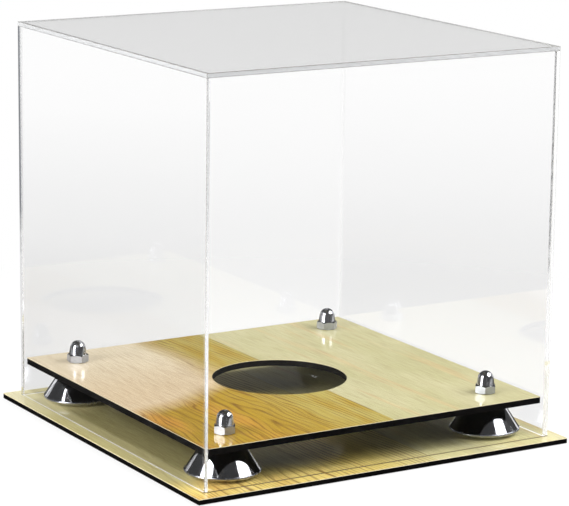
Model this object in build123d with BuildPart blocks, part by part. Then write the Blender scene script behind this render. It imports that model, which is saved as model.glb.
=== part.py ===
"""Display case for one bowling ball: a clear cover over a raised, veneered platform on chromed risers.

Millimetres, +Z up. The origin is the centre of the base board's underside.
+X runs to the right along the front edge, and +Y runs to the back.
"""
from build123d import *
from math import cos, radians, sin, sqrt, tan
import os

os.makedirs("parts", exist_ok=True)

# Clear cover, a five-sided box of bonded sheet that lifts straight off
COVER_WIDTH = 254.0
COVER_DEPTH = 254.0
COVER_HEIGHT = 254.0
ACRYLIC = 3.0
POLISHED_ARRIS = 0.3

# Boards, each a black core with a thin veneer bonded to its top
BASE_MARGIN = 9.0
BASE_CORE = 3.0
PLATFORM_PLAY = 1.5
PLATFORM_CORE = 4.0
VENEER = 0.5

# Round seat that the ball sinks into
SEAT_DIAMETER = 88.9

# Hollow conical risers under the platform's corners, each with a beaded rim over an undercut foot
RISER_INSET = 25.4
RISER_HEIGHT = 22.0
RISER_FOOT_DIAMETER = 37.0
RISER_UNDERCUT = 2.4
RISER_RIM_DIAMETER = 46.0
RISER_BEAD_HEIGHT = 2.0
RISER_BEAD_BULGE = 0.6
RISER_CROWN_DIAMETER = 21.6
RISER_CROWN = 3.0
RISER_WALL = 2.2
RISER_BOSS_DIAMETER = 13.0
RISER_RIBS = 4
RISER_RIB_THICKNESS = 1.4
RISER_RIB_LIFT = 1.0

# Flat-head machine screws, up through base, riser and platform and this far into the cap nuts
SCREW_DIAMETER = 6.35
SCREW_REACH = 8.2
SCREW_HEAD_DIAMETER = 11.4
SCREW_HEAD_ANGLE = 82.0
SCREW_HEAD_SUNK = 0.1
SCREW_TIP_CHAMFER = 0.6
SCREW_CLEARANCE = 0.2
HEAD_CLEARANCE = 0.1
THREAD_CLEARANCE = 0.08

# Cap nuts that clamp each stack from above
NUT_ACROSS_FLATS = 12.7
NUT_HEX_HEIGHT = 5.5
NUT_HEX_FACE_SHARE = 0.95
NUT_HEX_CHAMFER_ANGLE = 30.0
NUT_DOME_DIAMETER = 11.6
NUT_DOME_TAPER = 8.0
NUT_HEIGHT = 14.5
NUT_THREAD_DEPTH = 10.5
NUT_DRILL_ANGLE = 120.0

# How far each nut had turned when it came tight, in degrees from a corner along +X
NUT_TURNS = {
    "front_left": 0.0,
    "front_right": 54.4,
    "back_left": 23.4,
    "back_right": 41.0,
}

# Heights, from the ground up
BASE_TOP = BASE_CORE + VENEER
PLATFORM_BOTTOM = BASE_TOP + RISER_HEIGHT
PLATFORM_CORE_TOP = PLATFORM_BOTTOM + PLATFORM_CORE
PLATFORM_TOP = PLATFORM_CORE_TOP + VENEER
WALL_HEIGHT = COVER_HEIGHT - ACRYLIC
WALL_TOP = BASE_TOP + WALL_HEIGHT

# Plan sizes: the platform stands inside the cover's walls with a little play all round
BASE_WIDTH = COVER_WIDTH + 2 * BASE_MARGIN
BASE_DEPTH = COVER_DEPTH + 2 * BASE_MARGIN
PLATFORM_WIDTH = COVER_WIDTH - 2 * (ACRYLIC + PLATFORM_PLAY)
PLATFORM_DEPTH = COVER_DEPTH - 2 * (ACRYLIC + PLATFORM_PLAY)
RISER_X = PLATFORM_WIDTH / 2 - RISER_INSET
RISER_Y = PLATFORM_DEPTH / 2 - RISER_INSET
CORNERS = {
    "front_left": (-RISER_X, -RISER_Y),
    "front_right": (RISER_X, -RISER_Y),
    "back_left": (-RISER_X, RISER_Y),
    "back_right": (RISER_X, RISER_Y),
}

# Fastener sizes that follow from the ones above
SCREW_RADIUS = SCREW_DIAMETER / 2
CLEARANCE_HOLE = SCREW_RADIUS + SCREW_CLEARANCE
HEAD_RADIUS = SCREW_HEAD_DIAMETER / 2
HEAD_SLOPE = tan(radians(SCREW_HEAD_ANGLE / 2))
HEAD_TOP = SCREW_HEAD_SUNK + (HEAD_RADIUS - SCREW_RADIUS) / HEAD_SLOPE
COUNTERSINK_RADIUS = HEAD_RADIUS + SCREW_HEAD_SUNK * HEAD_SLOPE + HEAD_CLEARANCE
SCREW_TIP = PLATFORM_TOP + SCREW_REACH


def save(piece: BuildPart, name: str) -> None:
    """Label a finished piece and write it under its own name."""
    piece.part.label = name
    export_step(piece.part, f"parts/{name}.step")


def upright_plane(x: float, y: float, z: float) -> Plane:
    """The upright plane that a turned profile is drawn on, with its own X as the radius and Y as the height."""
    return Plane(origin=(x, y, z), x_dir=(1, 0, 0), z_dir=(0, -1, 0))


def make_cover_top() -> None:
    """The cover's top sheet, which lies over the upper edges of all four walls."""
    with BuildPart() as sheet:
        with BuildSketch(Plane.XY.offset(WALL_TOP)):
            Rectangle(COVER_WIDTH, COVER_DEPTH)
        extrude(amount=ACRYLIC)
        chamfer(sheet.edges().filter_by(Axis.Z) + sheet.faces().sort_by(Axis.Z)[-1].edges(), POLISHED_ARRIS)
    save(sheet, "cover_top")


def make_cover_wall(side: str, turn: float, reach: float, width: float, has_corners: bool) -> None:
    """One wall of the cover, drawn on its outer face, with its outer edges eased.

    The front and back walls run the full width and own the corners; the side walls fit between them.
    """
    outward = Vector(0, -1, 0).rotate(Axis.Z, turn)
    along = Vector(1, 0, 0).rotate(Axis.Z, turn)
    outer = Plane(origin=outward * reach + Vector(0, 0, BASE_TOP), x_dir=along, z_dir=outward)
    with BuildPart() as wall:
        with BuildSketch(outer):
            Rectangle(width, WALL_HEIGHT, align=(Align.CENTER, Align.MIN))
        extrude(amount=-ACRYLIC)
        rim = wall.faces().sort_by(Axis(outer.origin, outer.z_dir))[-1].edges().sort_by(Axis.Z)
        chamfer(rim[:-1] if has_corners else rim[:1], POLISHED_ARRIS)
    save(wall, f"cover_{side}")


def make_base() -> None:
    """The base: a black board countersunk from below, and the veneer on its top."""
    with BuildPart() as base_board:
        with BuildSketch():
            Rectangle(BASE_WIDTH, BASE_DEPTH)
        extrude(amount=BASE_CORE)
        with Locations(*[Location((x, y, 0), (180, 0, 0)) for x, y in CORNERS.values()]):
            CounterSinkHole(CLEARANCE_HOLE, COUNTERSINK_RADIUS, BASE_CORE, SCREW_HEAD_ANGLE)
    save(base_board, "base_board")

    with BuildPart() as base_veneer:
        with BuildSketch(Plane.XY.offset(BASE_CORE)):
            Rectangle(BASE_WIDTH, BASE_DEPTH)
            with Locations(*CORNERS.values()):
                Circle(CLEARANCE_HOLE, mode=Mode.SUBTRACT)
        extrude(amount=VENEER)
    save(base_veneer, "base_veneer")


def make_platform_layer(name: str, bottom: float, thickness: float) -> None:
    """One layer of the platform, bored through in the middle for the ball and at each riser for its screw."""
    with BuildPart() as layer:
        with BuildSketch(Plane.XY.offset(bottom)):
            Rectangle(PLATFORM_WIDTH, PLATFORM_DEPTH)
            Circle(SEAT_DIAMETER / 2, mode=Mode.SUBTRACT)
            with Locations(*CORNERS.values()):
                Circle(CLEARANCE_HOLE, mode=Mode.SUBTRACT)
        extrude(amount=thickness)
    save(layer, name)


def make_riser(name: str, x: float, y: float) -> None:
    """A moulded riser: a conical shell with a beaded rim, and a ribbed boss inside round its screw."""
    foot = RISER_FOOT_DIAMETER / 2
    rim = RISER_RIM_DIAMETER / 2
    neck = rim - RISER_BEAD_BULGE
    crown = RISER_CROWN_DIAMETER / 2
    boss = RISER_BOSS_DIAMETER / 2
    bead_top = RISER_UNDERCUT + RISER_BEAD_HEIGHT
    roof = RISER_HEIGHT - RISER_CROWN
    flank_slope = (neck - crown) / (RISER_HEIGHT - bead_top)
    inner_roof = neck - RISER_WALL - flank_slope * (roof - bead_top)
    upright = upright_plane(x, y, BASE_TOP)
    spindle = Axis((x, y, 0), (0, 0, 1))
    with BuildPart() as hollow:
        with BuildSketch(upright):
            with BuildLine():
                Polyline(
                    (boss, 0),
                    (foot - RISER_WALL, 0),
                    (neck - RISER_WALL, bead_top),
                    (inner_roof, roof),
                    (boss, roof),
                    close=True,
                )
            make_face()
        revolve(axis=spindle)
        with BuildSketch(Plane.XY.offset(BASE_TOP + RISER_RIB_LIFT)):
            with Locations((x, y)):
                with PolarLocations(0, RISER_RIBS):
                    Rectangle(rim, RISER_RIB_THICKNESS, align=(Align.MIN, Align.CENTER))
        extrude(amount=roof, mode=Mode.SUBTRACT)

    with BuildPart() as riser:
        with BuildSketch(upright):
            with BuildLine():
                under = Polyline((0, 0), (foot, 0), (neck, RISER_UNDERCUT))
                bead = ThreePointArc(under @ 1, (rim, RISER_UNDERCUT + RISER_BEAD_HEIGHT / 2), (neck, bead_top))
                Polyline(bead @ 1, (crown, RISER_HEIGHT), (0, RISER_HEIGHT), (0, 0))
            make_face()
        revolve(axis=spindle)
        add(hollow.part, mode=Mode.SUBTRACT)
        with Locations((x, y, BASE_TOP + RISER_HEIGHT)):
            Hole(CLEARANCE_HOLE)
    save(riser, name)


def make_screw(name: str, x: float, y: float) -> None:
    """A flat-head machine screw, its head flush in the base's underside and its tip inside the nut."""
    with BuildPart() as screw:
        with BuildSketch(upright_plane(x, y, 0)):
            with BuildLine():
                Polyline(
                    (0, SCREW_HEAD_SUNK),
                    (HEAD_RADIUS, SCREW_HEAD_SUNK),
                    (SCREW_RADIUS, HEAD_TOP),
                    (SCREW_RADIUS, SCREW_TIP - SCREW_TIP_CHAMFER),
                    (SCREW_RADIUS - SCREW_TIP_CHAMFER, SCREW_TIP),
                    (0, SCREW_TIP),
                    close=True,
                )
            make_face()
        revolve(axis=Axis((x, y, 0), (0, 0, 1)))
    save(screw, name)


def make_cap_nut(name: str, x: float, y: float, turn: float) -> None:
    """A high-crown cap nut: a chamfered hexagon under a tapered dome, tapped from below.

    The dome's flank tapers up to the spring, where it goes over smoothly into the round crown.
    """
    corner = NUT_ACROSS_FLATS / sqrt(3)
    face_circle = NUT_HEX_FACE_SHARE * NUT_ACROSS_FLATS / 2
    chamfer_drop = (corner - face_circle) * tan(radians(NUT_HEX_CHAMFER_ANGLE))
    taper = radians(NUT_DOME_TAPER)
    crown_share = (1 - sin(taper)) / cos(taper)
    dome_foot = NUT_DOME_DIAMETER / 2
    dome_neck = (dome_foot - (NUT_HEIGHT - NUT_HEX_HEIGHT) * tan(taper)) / (1 - crown_share * tan(taper))
    spring = NUT_HEIGHT - crown_share * dome_neck
    bore = SCREW_RADIUS + THREAD_CLEARANCE
    upright = upright_plane(x, y, PLATFORM_TOP)
    spindle = Axis((x, y, 0), (0, 0, 1))
    with BuildPart() as nut:
        with BuildSketch(Plane.XY.offset(PLATFORM_TOP)):
            with Locations((x, y)):
                RegularPolygon(NUT_ACROSS_FLATS / 2, 6, major_radius=False, rotation=turn)
        extrude(amount=NUT_HEX_HEIGHT)
        with BuildSketch(upright):
            with BuildLine():
                Polyline(
                    (0, 0),
                    (face_circle, 0),
                    (corner, chamfer_drop),
                    (corner, NUT_HEX_HEIGHT - chamfer_drop),
                    (face_circle, NUT_HEX_HEIGHT),
                    (0, NUT_HEX_HEIGHT),
                    close=True,
                )
            make_face()
        revolve(axis=spindle, mode=Mode.INTERSECT)
        with BuildSketch(upright):
            with BuildLine():
                shoulder = Polyline((0, 0), (dome_foot, 0), (dome_foot, NUT_HEX_HEIGHT), (dome_neck, spring))
                crown = RadiusArc(shoulder @ 1, (0, NUT_HEIGHT), -dome_neck / cos(taper))
                Line(crown @ 1, (0, 0))
            make_face()
        revolve(axis=spindle)
        with BuildSketch(upright):
            with BuildLine():
                Polyline(
                    (0, 0),
                    (bore, 0),
                    (bore, NUT_THREAD_DEPTH),
                    (0, NUT_THREAD_DEPTH + bore / tan(radians(NUT_DRILL_ANGLE / 2))),
                    close=True,
                )
            make_face()
        revolve(axis=spindle, mode=Mode.SUBTRACT)
    save(nut, name)


make_cover_top()
make_cover_wall("front", 0, COVER_DEPTH / 2, COVER_WIDTH, has_corners=True)
make_cover_wall("right", 90, COVER_WIDTH / 2, COVER_DEPTH - 2 * ACRYLIC, has_corners=False)
make_cover_wall("back", 180, COVER_DEPTH / 2, COVER_WIDTH, has_corners=True)
make_cover_wall("left", 270, COVER_WIDTH / 2, COVER_DEPTH - 2 * ACRYLIC, has_corners=False)
make_base()
make_platform_layer("platform_board", PLATFORM_BOTTOM, PLATFORM_CORE)
make_platform_layer("platform_veneer", PLATFORM_CORE_TOP, VENEER)
for corner_name, (corner_x, corner_y) in CORNERS.items():
    make_riser(f"riser_{corner_name}", corner_x, corner_y)
    make_screw(f"screw_{corner_name}", corner_x, corner_y)
    make_cap_nut(f"cap_nut_{corner_name}", corner_x, corner_y, NUT_TURNS[corner_name])
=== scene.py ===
"""Looks of a clear display case with a round seat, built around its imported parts.

Metres, +Z up. The origin is the centre of the base board's underside, and +Y runs to the back.
"""
import logging
import math
from contextlib import contextmanager
from dataclasses import dataclass
from enum import Enum
from functools import partial
from typing import Any, Callable, Iterator

import bmesh
import bpy
from bpy.types import Material, Node, NodeSocket, NodeTree, Object
from mathutils import Matrix, Vector


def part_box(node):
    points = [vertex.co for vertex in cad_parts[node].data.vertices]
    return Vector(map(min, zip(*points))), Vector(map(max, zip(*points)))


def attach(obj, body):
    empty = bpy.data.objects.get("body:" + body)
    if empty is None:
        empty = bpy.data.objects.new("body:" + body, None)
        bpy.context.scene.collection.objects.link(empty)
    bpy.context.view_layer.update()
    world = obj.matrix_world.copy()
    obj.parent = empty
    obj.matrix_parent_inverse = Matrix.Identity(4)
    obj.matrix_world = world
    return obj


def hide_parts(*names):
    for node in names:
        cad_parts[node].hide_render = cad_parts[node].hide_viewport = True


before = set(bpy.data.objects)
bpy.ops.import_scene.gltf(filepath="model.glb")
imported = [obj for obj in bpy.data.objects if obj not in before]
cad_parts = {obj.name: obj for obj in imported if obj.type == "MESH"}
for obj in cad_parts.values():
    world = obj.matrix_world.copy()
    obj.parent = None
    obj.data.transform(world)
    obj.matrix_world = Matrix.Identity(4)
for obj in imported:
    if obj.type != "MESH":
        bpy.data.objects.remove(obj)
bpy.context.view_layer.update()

log = logging.getLogger("display_case")

MM = 0.001
# How near counts as the same place, and how near two corners are merged
TINY = 0.02 * MM
WELD = 1e-7
# A face or an edge narrower than this is cleared away after cuts
SLIVER = 1e-6
# A ring that closes to a point keeps this radius, so that it can be extruded
POLE = 0.05 * MM
CORNERS = ("front_left", "front_right", "back_left", "back_right")
# A Map Range node's setting for a soft change
SMOOTH = {"interpolation_type": "SMOOTHSTEP"}

Point = tuple[float, float, float]
Colour = tuple[float, float, float, float]
Adder = Callable[..., Node]


# Colours and nodes


def linear(code: str) -> Colour:
    """Turn an sRGB hex colour, as #RRGGBB, into the linear one that Blender's sockets take."""
    parts = [int(code[i:i + 2], 16) / 255 for i in (1, 3, 5)]
    return (*(c / 12.92 if c <= 0.04045 else ((c + 0.055) / 1.055) ** 2.4 for c in parts), 1.0)


def add(
    tree: NodeTree,
    kind: str,
    inputs: dict[str | int, Any] | list[Any] | tuple[Any, ...] = (),
    stops: list[tuple[float, str | float]] | None = None,
    **settings: Any,
) -> Node:
    """Add one shader node with its settings, values and links.

    Args:
        tree: The node tree that it goes into.
        kind: The node's type without its first word, such as TexNoise.
        inputs: Values or links for its inputs, by name or number, or in order. A node stands for its first
            output in use, a hex code for its colour, and ("ADD", a, b) for what such a Math node gives.
        stops: A colour ramp's places, each with a hex code or a brightness.
        settings: The node's own properties.

    Returns:
        The new node.
    """
    node = tree.nodes.new(f"ShaderNode{kind}")
    for name, value in settings.items():
        setattr(node, name, value)
    if stops:
        elements = node.color_ramp.elements
        while len(elements) < len(stops):
            elements.new(1.0)
        for element, (place, tone) in zip(elements, stops):
            element.position = place
            element.color = linear(tone) if isinstance(tone, str) else (tone, tone, tone, 1)
    for name, value in inputs.items() if isinstance(inputs, dict) else enumerate(inputs):
        if isinstance(value, tuple) and isinstance(value[0], str):
            value = add(tree, "Math", value[1:], operation=value[0])
        if isinstance(value, Node):
            value = next(socket for socket in value.outputs if socket.enabled)
        if isinstance(value, NodeSocket):
            tree.links.new(value, node.inputs[name])
        else:
            node.inputs[name].default_value = linear(value) if isinstance(value, str) else value
    return node


def start(name: str) -> tuple[Material, Adder]:
    """Start a material with an empty tree.

    Args:
        name: What the material is.

    Returns:
        The material, and a call that adds a node to its tree.
    """
    material = bpy.data.materials.new(name)
    material.use_nodes = True
    material.node_tree.nodes.clear()
    return material, partial(add, material.node_tree)


def millimetres(node: Adder) -> Node:
    """Give the place on the object in millimetres."""
    place = node("TexCoord").outputs["Object"]
    return node("VectorMath", {0: place, "Scale": 1 / MM}, operation="SCALE")


# Modelling


def deselect() -> None:
    """Deselect everything, because operators act on all that is selected."""
    bpy.ops.object.select_all(action="DESELECT")


def only(piece: Object) -> None:
    """Select one piece and make it the active one.

    Args:
        piece: The piece.
    """
    deselect()
    piece.select_set(True)
    bpy.context.view_layer.objects.active = piece


@contextmanager
def editing(piece: Object) -> Iterator[None]:
    """Open a piece in edit mode for the length of a with block.

    Args:
        piece: The piece.

    Returns:
        Nothing: the block runs in edit mode.
    """
    only(piece)
    bpy.ops.object.mode_set(mode="EDIT")
    try:
        yield
    finally:
        bpy.ops.object.mode_set(mode="OBJECT")


def settle(name: str) -> Object:
    """Name the primitive just added, and put its place, turn and size into its mesh.

    Args:
        name: The piece's name.

    Returns:
        The piece.
    """
    piece = bpy.context.object
    only(piece)
    bpy.ops.object.transform_apply(location=True, rotation=True, scale=True)
    piece.name = name
    piece.data.name = name
    return piece


def block(name: str, low: Point, high: Point) -> Object:
    """Add a rectangular block.

    Args:
        name: The piece's name.
        low: Its lowest corner.
        high: Its highest corner.

    Returns:
        The new piece, its place in its mesh.
    """
    deselect()
    centre = [(a + b) / 2 for a, b in zip(low, high)]
    bpy.ops.mesh.primitive_cube_add(size=1, location=centre, scale=[b - a for a, b in zip(low, high)])
    return settle(name)


class Part(Enum):
    """The part of a mesh that is picked."""

    EDGE = "edges"
    FACE = "faces"


def pick(piece: Object, part: Part, test: Callable[[Any], bool]) -> None:
    """Select the edges or faces of a piece in edit mode that pass a test.

    Args:
        piece: The piece, in edit mode.
        part: Which part of its mesh is looked at.
        test: Says whether one of them is wanted.
    """
    bpy.ops.mesh.select_mode(type=part.name)
    bpy.ops.mesh.select_all(action="DESELECT")
    mesh = bmesh.from_edit_mesh(piece.data)
    for element in getattr(mesh, part.value):
        if test(element):
            element.select_set(True)
    mesh.select_flush_mode()
    bmesh.update_edit_mesh(piece.data)


def turned(
    name: str, profile: list[tuple[float, float]], base: float, sides: int, solid: bool,
) -> Object:
    """Turn a profile about the upright axis, ring by ring.

    Args:
        name: The piece's name.
        profile: Radius and height of each ring, the height from the base.
        base: The height that the profile starts from.
        sides: How many sides a ring has.
        solid: Whether the ends are filled, or else the last ring joins the first.

    Returns:
        The new piece, about the origin.
    """
    rings = [(radius, height + base) for radius, height in profile]
    deselect()
    bpy.ops.mesh.primitive_circle_add(vertices=sides, radius=rings[0][0], location=(0, 0, rings[0][1]))
    piece = settle(name)
    with editing(piece):
        bpy.ops.mesh.select_mode(type="EDGE")
        bpy.ops.mesh.select_all(action="SELECT")
        if solid:
            bpy.ops.mesh.edge_face_add()
            pick(piece, Part.EDGE, lambda edge: True)
        for (r0, z0), (r1, z1) in zip(rings, rings[1:]):
            bpy.ops.mesh.extrude_edges_move(TRANSFORM_OT_translate={"value": (0, 0, z1 - z0)})
            bpy.ops.transform.resize(value=(r1 / r0, r1 / r0, 1), center_override=(0, 0, z1))
        if solid:
            bpy.ops.mesh.edge_face_add()
        else:
            pick(piece, Part.EDGE, lambda edge: len(edge.link_faces) == 1)
            bpy.ops.mesh.bridge_edge_loops()
        bpy.ops.mesh.select_all(action="SELECT")
        bpy.ops.mesh.remove_doubles(threshold=WELD)
        bpy.ops.mesh.normals_make_consistent(inside=False)
    return piece


def carve(piece: Object, tool: Object, operation: str = "DIFFERENCE") -> None:
    """Cut a piece with a tool, or join or intersect them, and remove the tool.

    Args:
        piece: The piece that is changed.
        tool: The other shape.
        operation: DIFFERENCE, UNION or INTERSECT.
    """
    only(piece)
    cut = piece.modifiers.new("Cut", "BOOLEAN")
    cut.operation = operation
    cut.solver = "EXACT"
    cut.object = tool
    bpy.ops.object.modifier_apply(modifier=cut.name)
    bpy.data.objects.remove(tool)


def ease(piece: Object, width: float, angle: float) -> None:
    """Ease all the sharp edges of a piece in two steps.

    Args:
        piece: The piece that is changed.
        width: How far the easing reaches into each face.
        angle: The least angle between two faces that is eased, in degrees.
    """
    only(piece)
    bevel = piece.modifiers.new("Ease", "BEVEL")
    bevel.width = width
    bevel.segments = 2
    bevel.limit_method = "ANGLE"
    bevel.angle_limit = math.radians(angle)
    bevel.harden_normals = False
    bpy.ops.object.modifier_apply(modifier=bevel.name)


def smooth(piece: Object, angle: float) -> None:
    """Shade a piece smooth, except over edges sharper than an angle in degrees."""
    only(piece)
    bpy.ops.object.shade_smooth_by_angle(angle=math.radians(angle))


def placed_copy(piece: Object, name: str, x: float, y: float, turn: float) -> Object:
    """Copy a piece modelled about the origin to its own place, with its own mesh.

    Args:
        piece: The pattern piece.
        name: The copy's name.
        x: Where it stands along the front.
        y: Where it stands from front to back.
        turn: How far it is turned about the upright axis, in degrees.

    Returns:
        The copy, with its place in its mesh.
    """
    copy = bpy.data.objects.new(name, piece.data.copy())
    copy.data.name = name
    bpy.context.scene.collection.objects.link(copy)
    copy.data.transform(Matrix.Translation((x, y, 0)) @ Matrix.Rotation(math.radians(turn), 4, "Z"))
    return copy


def hand_over(piece: Object, node: str, body: str) -> None:
    """Let a finished piece stand for its part and ride on its body.

    Args:
        piece: The finished piece.
        node: The part that it stands for.
        body: The body that it moves with.
    """
    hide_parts(node)
    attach(piece, body)
    log.info("%s stands for %s, on %s: %d faces", piece.name, node, body, len(piece.data.polygons))


# Finishes of the clear cover


@dataclass(frozen=True)
class Polished:
    """The cast face of acrylic sheet, left as it came from its glass mould.

    To the eye it is all but absent: no colour of its own, only faint mirror images of bright things.
    """

    name: str
    tint: str = "#FEFEFE"
    ior: float = 1.49
    shine: float = 0.15

    def material(self) -> Material:
        """Make the face.

        Returns:
            Clear plastic that lets the lamps' light straight through.
        """
        material, node = start(self.name)
        sheet = node("BsdfPrincipled", {
            "Base Color": self.tint, "Roughness": 0.0, "IOR": self.ior, "Transmission Weight": 1.0,
            "Specular IOR Level": self.shine,
        })
        path = node("LightPath").outputs
        straight = ("MAXIMUM", path["Is Shadow Ray"], path["Is Diffuse Ray"])
        node("OutputMaterial", [node("MixShader", [straight, sheet, node("BsdfTransparent")])])
        return material


@dataclass(frozen=True)
class Film:
    """A thin skin on acrylic, for solvent joints and for the painted glow, reflections and shade along edges.

    To the eye it is a grey line, faint below and denser higher up the cover, a change of painted shade.
    The mottle's rate is in turns for each millimetre, and its swing and the change are in millimetres.
    """

    name: str
    tone: str
    roughness: float
    low: float
    high: float
    change: tuple[float, float] = (118.0, 160.0)
    mottle_rate: float = 0.15
    mottle_swing: float = 40.0
    shine: float = 0.1

    def material(self) -> Material:
        """Make the film.

        Returns:
            A partly open skin whose cover goes softly from low to high, up the cover.
        """
        material, node = start(self.name)
        place = millimetres(node)
        height = node("SeparateXYZ", [place]).outputs["Z"]
        mottle = node("TexNoise", {"Vector": place, "Scale": self.mottle_rate, "Detail": 3.0})
        wavy = ("MULTIPLY_ADD", mottle, self.mottle_swing, height)
        cover = node("MapRange", [wavy, *self.change, self.low, self.high], **SMOOTH)
        film = node("BsdfPrincipled", {
            "Base Color": self.tone, "Roughness": self.roughness, "Specular IOR Level": self.shine,
            "Alpha": cover,
        })
        node("OutputMaterial", [film])
        return material


@dataclass(frozen=True)
class SawnEdge:
    """A sawn edge of acrylic, as the saw left it, its tones partly painted glow and shade.

    To the eye it is frosted, with fine marks across it. Real marks are finer: these are as coarse as they
    need to be to show, about two for each millimetre.
    """

    name: str
    dark: str
    light: str
    marks_rate: float = 2.2
    marks_depth: float = 0.05 * MM

    def material(self) -> Material:
        """Make the sawn edge.

        Returns:
            A frosted surface with saw marks.
        """
        material, node = start(self.name)
        marks = node("TexNoise", {"Vector": millimetres(node), "Scale": self.marks_rate, "Detail": 3.0})
        tone = node("ValToRGB", [marks], stops=[(0.3, self.dark), (0.7, self.light)])
        bump = node("Bump", {"Height": marks, "Strength": 0.3, "Distance": self.marks_depth})
        frost = node("BsdfPrincipled", {"Base Color": tone, "Roughness": 0.55, "Normal": bump})
        node("OutputMaterial", [frost])
        return material


class Skin(Enum):
    """The finishes of the cover's faces, some painted light and shade, in the order of each sheet's
    materials.
    """

    # Nothing shows but what is behind it
    CLEAR = Polished("cast acrylic, polished")
    # A joint that took its solvent well is clear
    JOINT = Film("solvent joint, clear", "#FFFFFF", 0.4, 0.04, 0.04)
    # The lower edges are frosted near-white by the saw, with a painted warm glow over the wood
    FOOT = SawnEdge("cast acrylic, bright sawn edge", "#E4E2D8", "#FFFFFC")
    # Thin grey lines under the top and up the back
    GREYED = Film("solvent joint, greyed", "#5E6268", 0.5, 0.12, 0.6)
    # An even, light grey band round the top sheet, a painted glow of light carried along the sheet
    EDGE = Film("cast acrylic, flame-polished edge", "#B9BABB", 0.3, 0.7, 0.7)
    # Fine warm grey lines along the lying corners, a painted reflection in their eased faces
    ARRIS = Film("cast acrylic, scraped arris", "#74706A", 0.35, 0.28, 0.7)
    # The front's lower edge is painted dark brown: a painted reflection of the dark base below it
    SHADED_FOOT = SawnEdge("cast acrylic, sawn edge in shade", "#4A3A1A", "#7A6636")
    # The back sheet's left end is a dark line of painted shade
    SHADED_END = Film("cast acrylic, milled end in shade", "#4E5156", 0.4, 0.3, 0.9)
    # The front's right joint is painted nearly black higher up, a painted reflection of the dark room
    DARK_JOINT = Film("solvent joint, dark", "#2C2C2F", 0.4, 0.1, 0.95)
    # The upright corners carry the same painted reflection, fainter than the lying ones
    UPRIGHT_ARRIS = Film("cast acrylic, scraped upright arris", "#74706A", 0.35, 0.28, 0.42)


# Finishes of the boards


@dataclass(frozen=True)
class BlackBoard:
    """Black high-density board, sawn and sealed.

    To the eye it is near-black with a soft gloss, rubbed greyer in patches, with fine marks up its edges.
    The saw's pitch is in millimetres.
    """

    name: str = "black sealed board"
    body: str = "#060505"
    scuff: str = "#151312"
    saw_pitch: float = 0.45
    saw_stretch: float = 0.12
    saw_depth: float = 0.06 * MM
    cloud_rate: float = 0.09

    def material(self) -> Material:
        """Make the board.

        Returns:
            A dark sealed surface, slightly rubbed.
        """
        material, node = start(self.name)
        place = millimetres(node)
        rate = 1 / self.saw_pitch
        stretched = node("Mapping", {"Vector": place, "Scale": (rate, rate, self.saw_stretch)})
        saw = node("TexNoise", {"Vector": stretched, "Scale": 1.0, "Detail": 2.0})
        cloud = node("TexNoise", {"Vector": place, "Scale": self.cloud_rate, "Detail": 4.0})
        board = node("BsdfPrincipled", {
            "Base Color": node("ValToRGB", [cloud], stops=[(0.45, self.body), (0.95, self.scuff)]),
            "Roughness": node("MapRange", {0: cloud, 3: 0.42, 4: 0.6}),
            "Normal": node("Bump", {"Height": saw, "Strength": 0.25, "Distance": self.saw_depth}),
            "IOR": 1.5, "Specular IOR Level": 0.08,
        })
        node("OutputMaterial", [board])
        return material


@dataclass(frozen=True)
class Mottle:
    """A random pattern in wood, with its size in millimetres across, along and through the leaf.

    Where it has a stretch, the part of the noise between the two turns softly into a share. Where it has a
    reach, it swings that many millimetres in all, about nothing.
    """

    size: Point
    detail: float
    shift: float = 0.0
    roughness: float = 0.5
    stretch: tuple[float, float] | None = None
    share: tuple[float, float] = (0.0, 1.0)
    reach: float | None = None

    def lay(self, node: Adder, place: Node) -> Node:
        """Lay the pattern on the object.

        Args:
            node: Adds a node to the material.
            place: The place on the object in millimetres.

        Returns:
            The pattern, as noise, as a share or as a swing.
        """
        scale = [1 / length for length in self.size]
        sized = node("Mapping", {"Vector": place, "Location": (self.shift, self.shift, 0), "Scale": scale})
        noise = node("TexNoise", {
            "Vector": sized, "Scale": 1.0, "Detail": self.detail, "Roughness": self.roughness,
        })
        if self.stretch:
            return node("MapRange", [noise, *self.stretch, *self.share], **SMOOTH)
        if self.reach:
            return node("Math", [("SUBTRACT", noise, 0.5), self.reach], operation="MULTIPLY")
        return noise


class Figure(Enum):
    """The random patterns in the veneers, each named for what it changes."""

    # How the grain runs
    WANDER = Mottle((34, 120, 34), 2.0, reach=13.0)
    FLUTTER = Mottle((9, 50, 9), 1.0, 31, reach=2.0)
    WAVE = Mottle((13, 52, 13), 1.5, 83)
    # How much of it shows
    RINGS = Mottle((9, 70, 9), 2.0, 7, stretch=(0.34, 0.6), share=(0.3, 1.0))
    FLAMES = Mottle((12, 60, 12), 2.0, 29, stretch=(0.4, 0.6), share=(0.1, 1.0))
    STREAKS = Mottle((0.9, 26, 3), 3.0, 11, 0.6, (0.35, 0.75), (0.0, 0.3))
    SPECKLES = Mottle((1.1, 1.6, 1.5), 3.0, 19, 0.7, (0.5, 0.75), (0.0, 0.16))
    PORES = Mottle((0.45, 2.4, 1), 2.0, 3, 0.6, (0.62, 0.72), (0.0, 0.25))
    # Where the left leaf changes colour
    BORDER = Mottle((40, 55, 40), 3.0, 53, reach=22.0)
    GREEN = Mottle((11, 60, 11), 2.0, 13, stretch=(0.3, 0.62), share=(0.25, 1.0))
    AMBER = Mottle((26, 60, 26), 2.0, 71, stretch=(0.42, 0.68))
    # Where the right leaf does
    CLOUDS = Mottle((38, 90, 38), 3.0, 91, stretch=(0.35, 0.65))
    BLUSH = Mottle((7, 150, 20), 2.0, 45, stretch=(0.56, 0.7))
    # The lacquer
    RELIEF = Mottle((5, 9, 5), 2.0, 5)
    LACQUER = Mottle((11, 13, 11), 1.0, 23)
    DULLNESS = Mottle((18, 60, 18), 3.0, 61, stretch=(0.3, 0.7), share=(0.34, 0.46))


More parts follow.
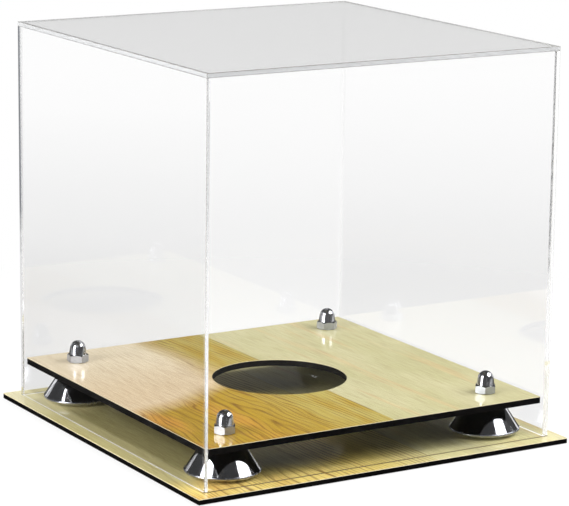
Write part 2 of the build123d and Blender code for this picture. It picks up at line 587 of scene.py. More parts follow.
@dataclass(frozen=True)
class Layout:
    """What a veneer's colours are worked out from: places in millimetres, its patterns and its grain."""

    node: Adder
    across: NodeSocket
    along: NodeSocket
    figure: dict[Figure, Node]
    heartwood: Node
    grain: Node


@dataclass(frozen=True)
class WoodVeneer:
    """Maple veneer in two leaves, sliced and glued side by side, under clear gloss lacquer.

    To the eye the left leaf is honey-golden with brown rings, going over into peach, and the right one is
    pale and quiet. Places, pitches and depths are in millimetres, and a colour starts at the first of two
    places and is full at the second. A cover's first number is for the gold, and its second for anywhere.
    """

    name: str
    seam: float
    golden: str = "#BC9A26"
    peach: str = "#E8D2AE"
    cream: str = "#F4E6C8"
    cream_from: float = 0.0
    cream_to: float = 110.0
    pale: str = "#CBC797"
    clouded: str = "#D4CFA3"
    blush: str = "#E2C08E"
    amber: str = "#DA9C40"
    yellow_green: str = "#C6BC6C"
    late_wood: str = "#78490C"
    quiet_line: str = "#A99655"
    streak: str = "#8F6A2C"
    speckle: str = "#B08A5A"
    pore: str = "#7A5526"
    seam_line: str = "#6A4A1C"
    # The cut edge is bare light wood, painted paler still as a highlight
    bare_edge_and_highlight: str = "#E6DAB8"
    cut_depth: float = 0.12
    top: float = 30.0
    ring_pitch: float = 3.3
    flame_pitch: float = 8.0
    quiet_pitch: float = 3.6
    heart: float = -58.0
    heart_depth: float = 9.0
    wave_reach: float = 13.0
    taper: float = 0.07
    heartwood: tuple[float, float] = (-12.0, -34.0)
    peach_from: float = 22.0
    peach_slant: float = 0.55
    gold_front: tuple[float, float] = (18.0, -14.0)
    gold_inner: tuple[float, float] = (-50.0, -18.0)
    green_inner: tuple[float, float] = (-62.0, -4.0)
    amber_outer: tuple[float, float] = (-52.0, -82.0)
    fade: float = 0.5
    fade_cover: float = 0.75
    greening: float = 0.8
    ring_cover: tuple[float, float] = (0.75, 0.15)
    flame_cover: tuple[float, float] = (0.6, 0.06)
    blush_cover: float = 0.4
    quiet_cover: float = 0.07

    def layout(self, node: Adder, place: Node) -> Layout:
        """Lay out the grain, which wanders slowly from front to back and waves in the heartwood.

        Args:
            node: Adds a node to the material.
            place: The place on the object in millimetres.

        Returns:
            What the colours are worked out from.
        """
        across, along, _ = node("SeparateXYZ", [place]).outputs
        figure = {pattern: pattern.value.lay(node, place) for pattern in Figure}
        heartwood = node("MapRange", [across, *self.heartwood], **SMOOTH)
        wave = ("MULTIPLY", ("MULTIPLY", ("SUBTRACT", figure[Figure.WAVE], 0.5), heartwood), self.wave_reach)
        wander = ("ADD", figure[Figure.WANDER], figure[Figure.FLUTTER])
        grain = node("Math", [("ADD", across, wave), wander], operation="ADD")
        return Layout(node, across, along, figure, heartwood, grain)

    def washed(self, node: Adder, wood: Any, *washes: tuple[Any, str]) -> Node:
        """Lay washes of colour over the wood, one on another.

        Args:
            node: Adds a node to the material.
            wood: The colour to start from.
            washes: How much each wash covers, and its colour.

        Returns:
            The wood's colour under all the washes.
        """
        for share, tone in washes:
            wood = node("Mix", {0: share, 6: wood, 7: tone}, data_type="RGBA")
        return wood

    def left_leaf(self, at: Layout) -> tuple[Node, Node]:
        """Colour the left leaf: golden in front and by the seam, peach at its left and back.

        Args:
            at: What the colours are worked out from.

        Returns:
            The leaf's colour, and how much its rings show.
        """
        node, figure = at.node, at.figure

        # The yearly rings: far from the heart they are straight lines, and over it they arch
        off_heart = node("Math", [at.grain, self.heart], operation="SUBTRACT")
        radius = ("SQRT", ("ADD", ("MULTIPLY", off_heart, off_heart), self.heart_depth ** 2))
        ring = ("DIVIDE", ("ADD", radius, ("MULTIPLY", at.along, self.taper)), self.ring_pitch)
        late = node("ValToRGB", [("FRACT", ring)], stops=[
            (0.0, 0.0), (0.55, 0.06), (0.8, 0.95), (0.87, 0.5), (0.94, 0.0)])

        # Where the gold is, with a wavy border
        border = figure[Figure.BORDER]
        slanted = ("ADD", ("SUBTRACT", at.along, ("MULTIPLY", at.across, self.peach_slant)), border)
        front = node("MapRange", [slanted, *(self.peach_from + place for place in self.gold_front)], **SMOOTH)
        inner = node("MapRange", [("ADD", at.across, border), *self.gold_inner], **SMOOTH)
        gold = node("Math", [front, inner], operation="MAXIMUM")
        most_gold = node("Math", [gold, self.ring_cover[0]], operation="MULTIPLY")

        # How much each colour covers: much in the gold, and little or nothing in the peach
        back = node("MapRange", [at.along, self.cream_from, self.cream_to], **SMOOTH)
        green = node("MapRange", [at.across, *self.green_inner], **SMOOTH)
        green = ("MULTIPLY", ("MULTIPLY", green, figure[Figure.GREEN]), ("MULTIPLY", gold, self.greening))
        outer = node("MapRange", [at.across, *self.amber_outer], **SMOOTH)
        amber = ("MULTIPLY", ("MULTIPLY", figure[Figure.AMBER], outer), most_gold)
        by_seam = node("MapRange", [
            at.across, self.seam - self.fade, self.seam, 0.0, self.fade_cover,
        ], **SMOOTH)
        ringed = ("MULTIPLY", late, figure[Figure.RINGS])
        ringed = node("Math", [ringed, ("ADD", most_gold, self.ring_cover[1])], operation="MULTIPLY")
        flamed = node("ValToRGB", [("FRACT", ("DIVIDE", at.grain, self.flame_pitch))], stops=[
            (0.0, 0.0), (0.55, 0.0), (0.72, 1.0), (0.9, 0.0)])
        flamed = ("MULTIPLY", ("MULTIPLY", flamed, at.heartwood), figure[Figure.FLAMES])
        in_gold, anywhere = self.flame_cover
        flamed = ("MULTIPLY", flamed, ("ADD", ("MULTIPLY", gold, in_gold), anywhere))
        leaf = self.washed(
            node, self.peach, (back, self.cream), (gold, self.golden), (green, self.yellow_green),
            (amber, self.amber), (by_seam, self.pale), (ringed, self.late_wood), (flamed, self.late_wood))
        return leaf, ringed

    def right_leaf(self, at: Layout) -> Node:
        """Colour the right leaf: pale and quiet, with a few peach streaks.

        Args:
            at: What the colours are worked out from.

        Returns:
            The leaf's colour.
        """
        node, figure = at.node, at.figure
        quiet = node("ValToRGB", [("FRACT", ("DIVIDE", at.grain, self.quiet_pitch))], stops=[
            (0.0, 0.0), (0.8, 1.0), (0.95, 0.0)])
        return self.washed(
            node, self.pale, (figure[Figure.CLOUDS], self.clouded),
            (("MULTIPLY", figure[Figure.BLUSH], self.blush_cover), self.blush),
            (("MULTIPLY", quiet, self.quiet_cover), self.quiet_line))

    def material(self) -> Material:
        """Make the veneer.

        Returns:
            Wood whose grain runs from front to back, with rings that arch over the left leaf's heart.
        """
        material, node = start(self.name)
        place = millimetres(node)
        at = self.layout(node, place)
        left, ringed = self.left_leaf(at)
        side = ("GREATER_THAN", at.across, self.seam)
        wood = node("Mix", {0: side, 6: left, 7: self.right_leaf(at)}, data_type="RGBA")
        wood = node("Mix", {
            0: at.figure[Figure.STREAKS], 6: wood, 7: self.streak,
        }, data_type="RGBA", blend_type="MULTIPLY")

        # The seam is a dark hairline, and the veneer's cut edge is bare light wood with a painted highlight
        off_seam = ("ABSOLUTE", ("SUBTRACT", at.across, self.seam))
        seam = node("MapRange", [off_seam, 0.22, 0.05, 0.0, 0.45], **SMOOTH)
        height = node("SeparateXYZ", [place]).outputs["Z"]
        below = ("LESS_THAN", height, self.top - self.cut_depth)
        wood = self.washed(
            node, wood, (at.figure[Figure.SPECKLES], self.speckle), (at.figure[Figure.PORES], self.pore),
            (seam, self.seam_line), (below, self.bare_edge_and_highlight))

        # Lacquer follows the grain a little and is not quite flat
        relief = ("ADD", ("MULTIPLY", ringed, -0.6), ("MULTIPLY", at.figure[Figure.RELIEF], 0.8))
        veneer = node("BsdfPrincipled", {
            "Base Color": wood, "Roughness": at.figure[Figure.DULLNESS],
            "IOR": 1.5, "Specular IOR Level": 0.05,
            "Normal": node("Bump", {"Height": relief, "Strength": 0.08, "Distance": 0.05 * MM}),
            "Coat Weight": 1.0, "Coat Roughness": 0.11, "Coat IOR": 1.5, "Coat Normal": node("Bump", {
                "Height": at.figure[Figure.LACQUER], "Strength": 0.12, "Distance": 0.03 * MM}),
        })
        node("OutputMaterial", [veneer])
        return material


# Finishes of the metal


@dataclass(frozen=True)
class ChromePlate:
    """Bright chrome plate over a polished casting.

    To the eye it is a mirror with a faint orange-peel ripple, duller and greyer where hands have been. The
    ripple's size is in millimetres.
    """

    name: str
    body: str = "#C6C7CB"
    handled: str = "#A9AAB0"
    roughness: float = 0.045
    ripple: float = 0.1
    ripple_size: float = 5.0
    marks_rate: float = 0.22

    def material(self) -> Material:
        """Make the plate.

        Returns:
            A mirror with a few soft hand marks in its gloss.
        """
        material, node = start(self.name)
        place = millimetres(node)
        peel = node("TexNoise", {"Vector": place, "Scale": 1 / self.ripple_size, "Detail": 1.0})
        marks = node("TexNoise", {
            "Vector": place, "Scale": self.marks_rate, "Detail": 5.0, "Roughness": 0.65,
        })
        plate = node("BsdfPrincipled", {
            "Base Color": node("ValToRGB", [marks], stops=[(0.4, self.body), (0.85, self.handled)]),
            "Roughness": node("MapRange", [marks, 0.45, 0.8, self.roughness, self.roughness + 0.12]),
            "Normal": node("Bump", {"Height": peel, "Strength": self.ripple, "Distance": 0.15 * MM}),
            "Metallic": 1.0,
        })
        node("OutputMaterial", [plate])
        return material


@dataclass(frozen=True)
class ZincSteel:
    """Zinc-plated steel, as a machine screw comes.

    To the eye it is a satin bluish grey with a fine dull mottle, about one spot for each millimetre.
    """

    name: str = "zinc-plated steel"
    body: str = "#A6A9AC"
    dulled: str = "#8A8D90"
    mottle_rate: float = 0.9

    def material(self) -> Material:
        """Make the steel.

        Returns:
            Satin metal with a dull mottle.
        """
        material, node = start(self.name)
        mottle = node("TexNoise", {"Vector": millimetres(node), "Scale": self.mottle_rate, "Detail": 5.0})
        steel = node("BsdfPrincipled", {
            "Base Color": node("ValToRGB", [mottle], stops=[(0.3, self.dulled), (0.7, self.body)]),
            "Roughness": node("MapRange", {0: mottle, 3: 0.24, 4: 0.42}),
            "Normal": node("Bump", {"Height": mottle, "Strength": 0.2, "Distance": 0.05 * MM}),
            "Metallic": 1.0,
        })
        node("OutputMaterial", [steel])
        return material


# Sub-assemblies


class Side(Enum):
    """A wall of the cover, with the axis that it faces along and which way."""

    FRONT = ("front", 1, -1)
    BACK = ("back", 1, 1)
    LEFT = ("left", 0, -1)
    RIGHT = ("right", 0, 1)


@dataclass
class Cover:
    """The clear cover: a top and four walls, bonded at their edges, that lifts off as one.

    A face counts as lying or standing along an axis when its normal passes the flat limit.
    """

    sheet: float = 3.0 * MM
    arris: float = 0.3 * MM
    stand_off: float = 0.04 * MM
    # How far past the front's right joint its painted dark reflection reaches
    dark_strip: float = 1.6 * MM
    flat: float = 0.9
    slanted: float = 0.98

    def __post_init__(self) -> None:
        """Take the cover's corners from its parts, and make its finishes."""
        self.low, self.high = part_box("cover_front")[0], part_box("cover_top")[1]
        self.wall_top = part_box("cover_top")[0].z
        self.half = self.high.x
        self.materials = [skin.value.material() for skin in Skin]

    def build(self) -> None:
        """Build the five sheets and dress them."""
        self.top()
        for side in Side:
            self.wall(side)

    def at_corner(self, edge: Any) -> bool:
        """Say whether an edge stands at an outer corner of the cover."""
        return all(abs(v.co.x) > self.half - TINY and abs(v.co.y) > self.half - TINY for v in edge.verts)

    def dress(self, piece: Object, node: str, skin_of: Callable[[Any], Skin]) -> None:
        """Give each face of a sheet its finish and hand the sheet over.

        Args:
            piece: The sheet.
            node: The part that it stands for.
            skin_of: Says which finish a flat face has.
        """
        for material in self.materials:
            piece.data.materials.append(material)
        skins = list(Skin)
        foot = self.low.z + self.stand_off + TINY
        for face in piece.data.polygons:
            if max(abs(part) for part in face.normal) < self.slanted:
                skin = Skin.UPRIGHT_ARRIS if abs(face.normal.z) < 1 - self.flat else Skin.ARRIS
            elif face.normal.z < -self.flat and face.center.z < foot:
                # The front's foot takes the sawn edge painted dark, a painted reflection of the base
                skin = Skin.SHADED_FOOT if node == "cover_front" else Skin.FOOT
            else:
                skin = skin_of(face)
            face.material_index = skins.index(skin)
        smooth(piece, 20.0)
        hand_over(piece, node, "cover")

    def top(self) -> None:
        """Build the top sheet, whose rim lies over the walls."""
        half, floor, inner = self.half, self.wall_top, self.half - self.sheet + TINY
        piece = block("cover_top_sheet", (-half, -half, floor), (half, half, self.high.z))
        with editing(piece):
            pick(piece, Part.FACE, lambda face: face.normal.z < -self.flat)
            bpy.ops.mesh.inset(thickness=self.sheet, use_even_offset=True)
            pick(piece, Part.EDGE, lambda edge: self.at_corner(edge) or all(
                abs(v.co.z - floor) > TINY for v in edge.verts))
            bpy.ops.mesh.bevel(offset=self.arris, segments=2, affect="EDGES")

        def skin_of(face: Any) -> Skin:
            """Tell the joint round the underside, the edges' painted glow and the clear faces apart.

            Args:
                face: A flat face.

            Returns:
                Its finish.
            """
            if abs(face.normal.z) < self.flat:
                return Skin.EDGE
            reach = max(abs(part) for i in face.vertices for part in piece.data.vertices[i].co.xy)
            return Skin.GREYED if face.normal.z < -self.flat and reach > inner else Skin.CLEAR
        self.dress(piece, "cover_top", skin_of)

    def wall(self, side: Side) -> None:
        """Build one wall. The front and back own the corners, and the sides fit between them.

        Args:
            side: Which wall.
        """
        name, axis, way = side.value
        half, foot, top = self.half, self.low.z + self.stand_off, self.wall_top
        inner = half - self.sheet
        near, far = sorted((way * half, way * inner))
        if axis == 1:
            piece = block(f"cover_{name}_sheet", (-half, near, foot), (half, far, top))
        else:
            piece = block(f"cover_{name}_sheet", (near, -inner, foot), (far, inner, top))

        def outer_edge(edge: Any) -> bool:
            """Say whether an edge is an outer corner or an outer lower edge.

            Args:
                edge: The edge.

            Returns:
                Whether it is eased.
            """
            outside = all(abs(v.co[axis]) > half - TINY for v in edge.verts)
            return outside and (self.at_corner(edge) or all(v.co.z < foot + TINY for v in edge.verts))
        with editing(piece):
            for x in (-inner, inner, inner + self.dark_strip) if axis == 1 else ():
                bpy.ops.mesh.select_all(action="SELECT")
                bpy.ops.mesh.bisect(plane_co=(x, 0, 0), plane_no=(1, 0, 0))
            pick(piece, Part.EDGE, outer_edge)
            bpy.ops.mesh.bevel(offset=self.arris, segments=2, affect="EDGES")

        def skin_of(face: Any) -> Skin:
            """Tell this wall's joints, its painted dark joint, its end's painted shade and its clear faces
            apart.

            Args:
                face: A flat face.

            Returns:
                Its finish.
            """
            x = face.center.x
            if side is Side.BACK and face.normal.x < -self.flat:
                return Skin.SHADED_END
            if face.normal.z > self.flat or (axis == 0 and abs(face.normal.y) > self.flat):
                return Skin.JOINT
            if axis == 0 or face.normal[axis] * way > -self.flat or abs(x) < inner:
                return Skin.CLEAR
            if side is Side.BACK:
                return Skin.GREYED if x < 0 else Skin.JOINT
            # A strip beside the front's right joint is painted dark, as painted reflection
            return Skin.DARK_JOINT if 0 < x < inner + self.dark_strip else Skin.JOINT
        self.dress(piece, f"cover_{name}", skin_of)


@dataclass
class Boards:
    """The base and the platform: black boards with a wood veneer on top.

    The base's veneer is lighter than the platform's, partly as painted light, and goes from gold to cream
    without a border.
    """

    board: BlackBoard = BlackBoard()
    platform_wood: WoodVeneer = WoodVeneer("platform veneer, lacquered maple", seam=10.0)
    # Its colours are partly painted light: brighter than the wood, to make up for the platform's shade
    base_wood: WoodVeneer = WoodVeneer(
        "base veneer, lacquered maple", seam=35.0, golden="#FDE484", peach="#D6CC8C", cream="#F3EBB8",
        cream_from=55.0, cream_to=115.0, pale="#EAE4A8", top=3.5, peach_from=-108.0, peach_slant=0.0,
        fade=42.0, greening=0.3)
    seat_radius: float = 44.45 * MM
    screw_hole: float = 3.375 * MM
    corner: float = 97.1 * MM
    seat_sides: int = 256
    hole_sides: int = 48
    board_ease: float = 0.15 * MM
    veneer_ease: float = 0.1 * MM

    def build(self) -> None:
        """Build the platform's two layers, and dress the base's."""
        black = self.board.material()
        for node, material in (("base_board", black), ("base_veneer", self.base_wood.material())):
            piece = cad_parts[node]
            piece.data.materials.clear()
            piece.data.materials.append(material)
            log.info("%s is dressed as %s", node, material.name)
        wood = self.platform_wood.material()
        self.layer("platform_board", "platform_black_board", black, self.board_ease)
        self.layer("platform_veneer", "platform_wood_face", wood, self.veneer_ease)

    def layer(self, node: str, name: str, material: Material, easing: float) -> None:
        """Build one layer of the platform, bored for its seat and the screws.

        Args:
            node: The part that it stands for.
            name: The piece's name.
            material: Its finish.
            easing: How far its edges are eased.
        """
        low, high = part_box(node)
        piece = block(name, tuple(low), tuple(high))
        holes = [(0.0, 0.0, self.seat_radius, self.seat_sides)]
        places = (-self.corner, self.corner)
        holes += [(x, y, self.screw_hole, self.hole_sides) for x in places for y in places]
        middle, depth = (low.z + high.z) / 2, 4 * (high.z - low.z)
        for x, y, radius, sides in holes:
            deselect()
            bpy.ops.mesh.primitive_cylinder_add(
                vertices=sides, radius=radius, depth=depth, location=(x, y, middle))
            carve(piece, settle("drill"))
        ease(piece, easing, 60.0)
        piece.data.materials.append(material)
        smooth(piece, 15.0)
        hand_over(piece, node, "base")


@dataclass
class Risers:
    """The four conical risers: a beaded rim over an undercut foot, and a ribbed boss inside."""

    foot: float = 18.5 * MM
    foot_ease: tuple[float, float] = (0.3 * MM, 0.15 * MM)
    rim: float = 23.0 * MM
    neck: float = 22.4 * MM
    undercut: float = 2.4 * MM
    bead_top: float = 4.4 * MM
    bead_steps: int = 16
    crown: float = 10.8 * MM
    crown_ease: tuple[float, float] = (0.12 * MM, 0.25 * MM)
    height: float = 22.0 * MM
    roof: float = 19.0 * MM
    wall: float = 2.2 * MM
    boss: float = 6.5 * MM
    bore: float = 3.375 * MM
    rib: float = 1.4 * MM
    rib_lift: float = 1.0 * MM
    sides: int = 128
    finish: ChromePlate = ChromePlate("chrome plate on moulded risers")
    # A bead is polished less well than the cone, so it is greyer and less sharp
    bead_finish: ChromePlate = ChromePlate(
        "satin chrome plate on riser beads", body="#B2B4BC", roughness=0.22)

    def build(self, corners: dict[str, tuple[float, float]], ground: float) -> None:
        """Model one riser, copy it to each corner and dress the copies.

        Args:
            corners: Where each riser stands.
            ground: The height that they stand at.
        """
        pattern = self.pattern(ground)
        for finish in (self.finish, self.bead_finish):
            pattern.data.materials.append(finish.material())
        for face in pattern.data.polygons:
            on_bead = self.undercut < face.center.z - ground < self.bead_top
            face.material_index = int(on_bead and face.center.xy.length > self.foot)
        smooth(pattern, 10.0)
        for corner, (x, y) in corners.items():
            piece = placed_copy(pattern, f"riser_{corner}_chromed", x, y, 0.0)
            hand_over(piece, f"riser_{corner}", "base")
        bpy.data.objects.remove(pattern)

    def pattern(self, ground: float) -> Object:
        """Model one riser about the origin.

        Args:
            ground: The height that it stands at.

        Returns:
            The riser.
        """
        # The bead is an arc through the undercut, the rim and the neck
        middle, half_bead = (self.undercut + self.bead_top) / 2, (self.bead_top - self.undercut) / 2
        bulge = self.rim - self.neck
        radius = (bulge ** 2 + half_bead ** 2) / (2 * bulge)
        spread = math.asin(half_bead / radius)
        angles = [-spread + 2 * spread * step / self.bead_steps for step in range(self.bead_steps + 1)]
        bead = [(self.rim - radius + radius * math.cos(a), middle + radius * math.sin(a)) for a in angles]
        slope = (self.neck - self.crown) / (self.height - self.bead_top)
        (foot_in, foot_up), (crown_in, crown_down) = self.foot_ease, self.crown_ease
        outline = [
            (self.bore, 0.0), (self.foot - foot_in, 0.0), (self.foot, foot_up), *bead,
            (self.crown + crown_down * slope, self.height - crown_down), (self.crown - crown_in, self.height),
            (self.bore, self.height),
        ]
        piece = turned("riser_pattern", outline, ground, self.sides, solid=False)
        inner_foot, inner_neck = self.foot - self.wall, self.neck - self.wall
        hollow = turned("hollow", [
            (self.boss, -MM), (inner_foot, -MM), (inner_foot, 0), (inner_neck, self.bead_top),
            (inner_neck - slope * (self.roof - self.bead_top), self.roof), (self.boss, self.roof),
        ], ground, self.sides, solid=False)
        for x, y in ((self.rim, self.rib / 2), (self.rib / 2, self.rim)):
            carve(hollow, block("rib", (-x, -y, ground + self.rib_lift), (x, y, ground + self.height)))
        carve(piece, hollow)
        return piece


@dataclass
class Fasteners:
    """The cap nuts and the flat-head screws that clamp the stack at each corner.

    The dome's taper and the screw head's slope are in degrees, the slope from the screw's own line.
    """

    across_flats: float = 12.7 * MM
    hex_height: float = 5.5 * MM
    hex_slope: float = 30.0
    face_share: float = 0.95
    clear: float = 0.01 * MM
    dome: float = 5.8 * MM
    dome_root: float = 2.0 * MM
    dome_taper: float = 8.0
    dome_steps: int = 18
    nut_height: float = 14.5 * MM
    thread_depth: float = 10.5 * MM
    bore: float = 3.255 * MM
    screw: float = 3.175 * MM
    head: float = 5.7 * MM
    head_sunk: float = 0.1 * MM
    head_slope: float = 41.0
    head_ease: tuple[float, float] = (0.08 * MM, 0.1 * MM)
    tip_chamfer: float = 0.6 * MM
    recess: float = 1.15 * MM
    recess_depth: float = 1.9 * MM
    recess_reach: float = 3.3 * MM
    recess_taper: tuple[float, float] = (0.25, 0.5)
    sides: int = 96
    drill_sides: int = 48
    plate: ChromePlate = ChromePlate("chrome plate on cap nuts", ripple=0.05, roughness=0.06)
    # The flats keep the grain of the bar they were cut from, so they shine softly
    flats: ChromePlate = ChromePlate(
        "satin chrome plate on nut flats", body="#B6BAC2", ripple=0.1, roughness=0.46)
    steel: ZincSteel = ZincSteel()

    def build(self, corners: dict[str, tuple[float, float]], turns: dict[str, float]) -> None:
        """Model one nut and one screw, copy them to each corner and dress the copies.

        Args:
            corners: Where each stack stands.
            turns: How far each nut is turned, in degrees.
        """
        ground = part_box("cap_nut_front_left")[0].z
        nut, screw = self.nut_pattern(ground), self.screw_pattern()
        for piece, finish in ((nut, self.plate), (nut, self.flats), (screw, self.steel)):
            piece.data.materials.append(finish.material())
        for face in nut.data.polygons:
            on_hexagon = face.center.z < ground + self.hex_height and face.center.xy.length > self.dome
            face.material_index = int(on_hexagon and abs(face.normal.z) < 0.3)
        smooth(nut, 8.0)
        smooth(screw, 10.0)
        for corner, (x, y) in corners.items():
            piece = placed_copy(nut, f"cap_nut_{corner}_chromed", x, y, turns[corner])
            hand_over(piece, f"cap_nut_{corner}", "base")
            piece = placed_copy(screw, f"screw_{corner}_steel", x, y, turns[corner] * 2)
            hand_over(piece, f"screw_{corner}", "base")
        for pattern in (nut, screw):
            bpy.data.objects.remove(pattern)

    def nut_pattern(self, ground: float) -> Object:
        """Model one cap nut about the origin.

        Args:
            ground: The height that it sits at.

        Returns:
            The nut, a corner of its hexagon along +X.
        """
        corner, height = self.across_flats / math.sqrt(3), self.hex_height
        deselect()
        bpy.ops.mesh.primitive_cylinder_add(
            vertices=6, radius=corner, depth=height, location=(0, 0, ground + height / 2),
            rotation=(0, 0, math.radians(30)))
        piece = settle("nut_pattern")

        # A chamfered disc cuts the hexagon's corners to curves, above and below
        face = self.face_share * self.across_flats / 2
        drop = (corner - face) * math.tan(math.radians(self.hex_slope))
        lens = turned("lens", [
            (face, 0), (corner + self.clear, drop), (corner + self.clear, height - drop), (face, height),
        ], ground, self.sides, solid=True)
        carve(piece, lens, "INTERSECT")

        # The dome's crown is a ball that its tapered side runs into
        taper = math.radians(self.dome_taper)
        share = (1 - math.sin(taper)) / math.cos(taper)
        side = self.dome - (self.nut_height - height) * math.tan(taper)
        ball = side / (1 - share * math.tan(taper)) / math.cos(taper)
        angles = [taper + (math.pi / 2 - taper) * step / self.dome_steps for step in range(self.dome_steps)]
        crown = [(ball * math.cos(a), self.nut_height - ball + ball * math.sin(a)) for a in angles]
        shank = turned("shank", [
            (self.dome, height - self.dome_root), (self.dome, height), *crown, (POLE, self.nut_height),
        ], ground, self.sides, solid=True)
        carve(piece, shank, "UNION")
        drill = turned("drill", [
            (self.bore, -MM), (self.bore, self.thread_depth),
            (POLE, self.thread_depth + self.bore / math.sqrt(3)),
        ], ground, self.drill_sides, solid=True)
        carve(piece, drill)
        with editing(piece):
            bpy.ops.mesh.select_all(action="SELECT")
            bpy.ops.mesh.dissolve_degenerate(threshold=SLIVER)
        return piece

    def screw_pattern(self) -> Object:
        """Model one screw about the origin, with a cross recess in its head.

        Returns:
            The screw.
        """
        tip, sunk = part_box("screw_front_left")[1].z, self.head_sunk
        head_top = sunk + (self.head - self.screw) / math.tan(math.radians(self.head_slope))
        ease_in, ease_up = self.head_ease
        piece = turned("screw_pattern", [
            (self.head - ease_in, sunk), (self.head, sunk + ease_up), (self.screw, head_top),
            (self.screw, tip - self.tip_chamfer), (self.screw - self.tip_chamfer, tip),
        ], 0.0, self.sides, solid=True)
        for turn in (0, 90):
            deselect()
            bpy.ops.mesh.primitive_cube_add(size=1, location=(0, 0, sunk), scale=(
                2 * self.recess_reach, self.recess, 2 * self.recess_depth))
            blade = settle("blade")
            with editing(blade):
                pick(blade, Part.FACE, lambda face: face.normal.z > 0.9)
                bpy.ops.transform.resize(
                    value=(*self.recess_taper, 1), center_override=(0, 0, sunk + self.recess_depth))
            blade.data.transform(Matrix.Rotation(math.radians(turn), 4, "Z"))
            carve(piece, blade)
        return piece


# Studio


@dataclass(frozen=True)
class Softbox:
    """A soft lamp, aimed at the case from a direction in degrees, positive to the right and up.

    Sizes and distances are in metres, and the power is in watts.
    """

    name: str
    turn: float
    rise: float
    distance: float
    size: tuple[float, float]
    power: float
    mirrored: bool = True
    aim: Point = (0, 0, 0.05)

    def hang(self) -> None:
        """Hang the lamp in its place."""
        data = bpy.data.lights.new(self.name, "AREA")
        data.shape = "RECTANGLE"
        data.size, data.size_y = self.size
        data.energy = self.power
        lamp = bpy.data.objects.new(self.name, data)
        bpy.context.scene.collection.objects.link(lamp)
        turn, rise = math.radians(self.turn), math.radians(self.rise)
        out = Vector((math.sin(turn) * math.cos(rise), -math.cos(turn) * math.cos(rise), math.sin(rise)))
        lamp.location = out * self.distance + Vector(self.aim)
        lamp.rotation_euler = out.to_track_quat("Z", "Y").to_euler()
        lamp.visible_camera = False
        lamp.visible_glossy = lamp.visible_transmission = self.mirrored


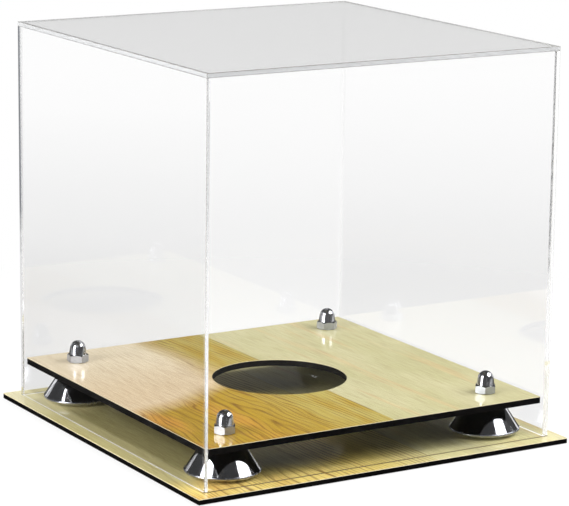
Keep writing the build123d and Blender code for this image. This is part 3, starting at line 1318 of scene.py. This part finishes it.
@dataclass
class Studio:
    """A white table in a dim room, with softboxes, and the camera."""

    camera_place: Point = (-0.88563, -1.47282, 0.49177)
    turn: float = -0.5431
    pitch: float = 0.2168
    roll: float = 0.0119
    lens: float = 170.42
    floor_radius: float = 2.4
    floor_drop: float = 0.4 * MM
    table_white: str = "#EDEDED"
    # The table shines this much by itself near the case and far from it, between these distances
    table_glow: tuple[float, float] = (0.68, 1.0)
    glow_reach: tuple[float, float] = (0.12, 0.5)
    flag_radius: float = 2.3
    flag_drop: float = 0.1 * MM
    table_rim: float = 0.01
    plain_level: float = 0.45
    # A look along the sheets passes their faces many times
    sheet_bounces: int = 96
    # The screens show in what was mirrored so many times, give or take the second number
    mirrorings: tuple[float, float] = (2.5, 2.0)
    # Through fewer sheet faces than this they are the bright card, and through more the dark room
    sheet_faces: float = 2.5
    lamps: tuple[Softbox, ...] = (
        Softbox("left box", -84, 16, 1.1, (0.5, 0.95), 13.0),
        Softbox("right box", 54, 44, 1.0, (1.0, 0.6), 11.5),
        # It lights the wood from behind, and would glare in the cover's top
        Softbox("back box", 178, 60, 1.5, (0.45, 0.35), 8.0, mirrored=False),
        # It puts a small spot on each nut's dome
        Softbox("back spot", 178, 60, 1.5, (0.14, 0.11), 0.8),
        # These two brighten the edges that turn away from the camera
        Softbox("right edge card", 112, 9, 1.6, (0.5, 0.5), 1.2),
        Softbox("left edge card", 196, 9, 1.6, (0.5, 0.5), 1.2),
    )

    def camera(self) -> None:
        """Set up the camera at the photograph's viewing angle."""
        ahead = Vector((-math.sin(self.turn), math.cos(self.turn), 0))
        right = Vector((math.cos(self.turn), math.sin(self.turn), 0))
        forward = ahead * math.cos(self.pitch) - Vector((0, 0, math.sin(self.pitch)))
        up = right.cross(forward)
        across = right * math.cos(self.roll) + up * math.sin(self.roll)
        above = up * math.cos(self.roll) - right * math.sin(self.roll)
        data = bpy.data.cameras.new("camera")
        data.sensor_width = 36.0
        data.lens = self.lens
        data.clip_start = 0.01
        camera = bpy.data.objects.new("camera", data)
        bpy.context.scene.collection.objects.link(camera)
        axes = Matrix((across, above, -forward)).transposed().to_4x4()
        camera.matrix_world = Matrix.Translation(self.camera_place) @ axes
        bpy.context.scene.camera = camera

    def seen(self, node: Adder) -> Node:
        """Tell what is looked at from what only lights the case.

        Args:
            node: Adds a node to the material.

        Returns:
            1 for what the camera, metal and clear sheet see, and 0 for the rest.
        """
        path = node("LightPath").outputs
        seen = ("MAXIMUM", path["Is Camera Ray"], path["Is Glossy Ray"])
        return node("Math", [seen, path["Is Transmission Ray"]], operation="MAXIMUM")

    def flags(self) -> None:
        """Hang the dim screens round the table that polished surfaces mirror, and that nothing else meets."""
        deselect()
        bpy.ops.mesh.primitive_uv_sphere_add(segments=48, ring_count=24, radius=self.flag_radius)
        screen = settle("studio_flags")
        with editing(screen):
            bpy.ops.mesh.select_all(action="SELECT")
            bpy.ops.mesh.bisect(
                plane_co=(0, 0, -self.flag_drop), plane_no=(0, 0, 1), clear_inner=True, use_fill=True)
        material, node = start("dim screens")
        place = node("TexCoord").outputs["Object"]
        height = node("SeparateXYZ", [place]).outputs["Z"]
        tall = node("Math", [height, self.flag_radius], operation="DIVIDE")
        away = node("VectorMath", [place], operation="LENGTH")
        table = node("ValToRGB", [("DIVIDE", away, self.flag_radius)], stops=[
            (0.0, 0.02), (0.13, 0.02), (0.3, 0.6), (0.6, 1.0)])

        # Metal inside the cover mirrors the dark room, and the sheets' own faces the bright card
        dark = node("ValToRGB", [tall], stops=[
            (0.0, 0.12), (0.04, 0.1), (0.09, 0.1), (0.2, 0.1), (1.0, 0.06)])
        card = node("ValToRGB", [tall], stops=[(0.0, 1.0), (0.06, 0.61), (0.36, 0.61), (0.5, 0.03)])
        path = node("LightPath").outputs
        outside = ("LESS_THAN", path["Transmission Depth"], self.sheet_faces)
        upper = node("Mix", {0: outside, 6: dark, 7: card}, data_type="RGBA")
        low = node("MapRange", [height, self.table_rim, 0.0])
        room = node("Mix", {0: low, 6: upper, 7: table}, data_type="RGBA")
        mirrored = ("COMPARE", path["Glossy Depth"], *self.mirrorings)
        glow = node("Emission", {"Color": room})
        node("OutputMaterial", [node("MixShader", [mirrored, node("BsdfTransparent"), glow])])
        screen.data.materials.append(material)
        screen.visible_camera = screen.visible_diffuse = screen.visible_shadow = False

    def world(self) -> None:
        """Light the room plainly, with white behind what is seen."""
        world = bpy.data.worlds.new("room")
        bpy.context.scene.world = world
        world.use_nodes = True
        world.cycles.sampling_method = "NONE"
        world.node_tree.nodes.clear()
        node = partial(add, world.node_tree)
        plain = (self.plain_level,) * 3 + (1,)
        colour = node("Mix", {0: self.seen(node), 6: plain, 7: "#FFFFFF"}, data_type="RGBA")
        node("OutputWorld", [node("Background", {"Color": colour})])

    def floor(self) -> None:
        """Lay the pale floor, which keeps the case's shadow and goes over into the white room."""
        deselect()
        bpy.ops.mesh.primitive_circle_add(
            vertices=96, radius=self.floor_radius, fill_type="NGON", location=(0, 0, -self.floor_drop))
        floor = settle("floor")
        material, node = start("white table")
        away = node("VectorMath", [node("TexCoord").outputs["Object"]], operation="LENGTH")
        matt = node("BsdfDiffuse", {"Color": self.table_white})
        glow = node("MapRange", [away, *self.glow_reach, *self.table_glow], **SMOOTH)
        shown = ("MULTIPLY", glow, self.seen(node))
        node("OutputMaterial", [node("MixShader", [shown, matt, node("Emission")])])
        floor.data.materials.append(material)

    def build(self) -> None:
        """Set up camera, room, floor and lamps."""
        light_paths = bpy.context.scene.cycles
        light_paths.max_bounces = light_paths.transmission_bounces = self.sheet_bounces
        light_paths.glossy_bounces = light_paths.transparent_max_bounces = self.sheet_bounces
        self.camera()
        self.world()
        self.floor()
        self.flags()
        for lamp in self.lamps:
            lamp.hang()


def main() -> None:
    """Build the studio and every sub-assembly, in order."""
    logging.basicConfig(level=logging.INFO, format="%(name)s: %(message)s")
    view = bpy.context.scene.view_settings
    view.view_transform = "Standard"
    Studio().build()
    boxes = {corner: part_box(f"riser_{corner}") for corner in CORNERS}
    corners = {corner: tuple((low + high).xy / 2) for corner, (low, high) in boxes.items()}
    Boards().build()
    Risers().build(corners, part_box("base_veneer")[1].z)
    # Each nut stopped where its thread ended
    Fasteners().build(corners, dict(zip(CORNERS, (0.0, 54.4, 23.4, 41.0))))
    Cover().build()


if __name__ == "__main__":
    main()
